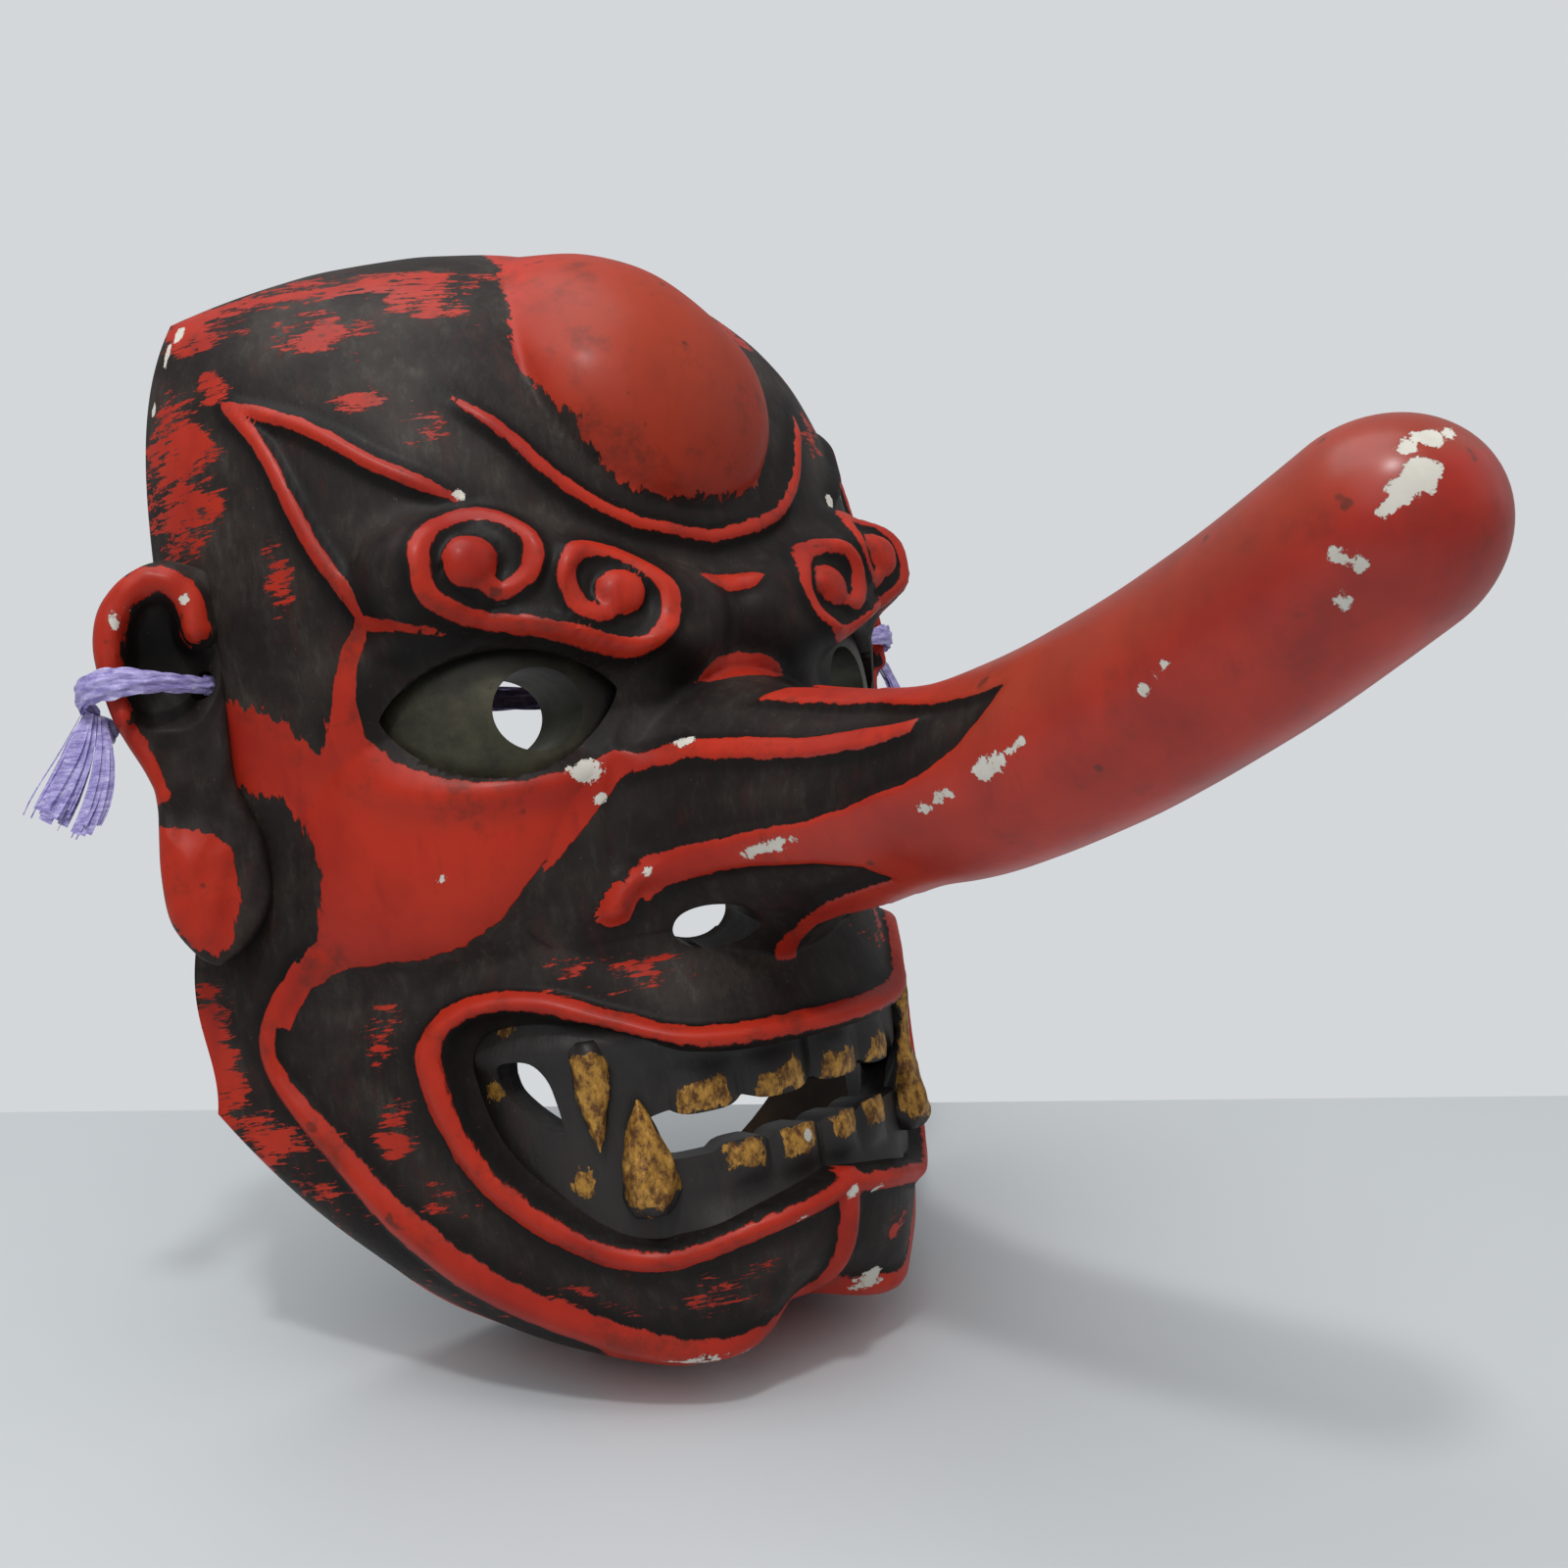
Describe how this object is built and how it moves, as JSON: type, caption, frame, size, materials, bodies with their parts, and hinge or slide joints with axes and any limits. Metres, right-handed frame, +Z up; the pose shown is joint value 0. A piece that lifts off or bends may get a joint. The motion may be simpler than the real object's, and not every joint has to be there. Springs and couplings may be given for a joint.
{
  "type": "long-nosed goblin mask",
  "caption": "Hollow carved goblin mask with a long rising nose, scrolled brows, bored eyes, open fanged mouth, leaf ears and a tape strap, worn on the face or hung on a wall.",
  "frame": {"origin": "in the plane of the back rim, on the middle line, at pupil level", "axes": "the face looks along -Y, +Y leaves the back rim, +Z is up and +X is the mask's own left"},
  "size_m": [0.2478, 0.2426, 0.2566],
  "materials": {
    "face_lacquer": "worn vermilion and black lacquer over a white ground",
    "nose_lacquer": "glossy vermilion lacquer, chipped",
    "bare_wood": "bare dry wood",
    "eye_bronze": "dull bronze-coloured paint on wood",
    "tooth_black": "worn black lacquer with gilt patches",
    "fang_gilt": "mottled gold leaf over lacquer",
    "ear_lacquer": "worn vermilion and black lacquer",
    "tape_lilac": "shiny split polyethylene tape"
  },
  "bodies": {
    "root": {"face_shell": "face_lacquer", "nose": "nose_lacquer", "nose_pin": "bare_wood", "eye_right": "eye_bronze", "eye_left": "eye_bronze", "upper_tooth_bar": "tooth_black", "lower_tooth_bar": "tooth_black", "upper_fangs": "fang_gilt", "lower_fangs": "fang_gilt", "ear_right": "ear_lacquer", "ear_left": "ear_lacquer", "ear_pegs": "bare_wood", "strap": "tape_lilac", "strap_loop_right": "tape_lilac", "strap_loop_left": "tape_lilac", "strap_knot_right": "tape_lilac", "strap_knot_left": "tape_lilac", "strap_tail_right": "tape_lilac", "strap_tail_left": "tape_lilac"}
  },
  "joints": []
}
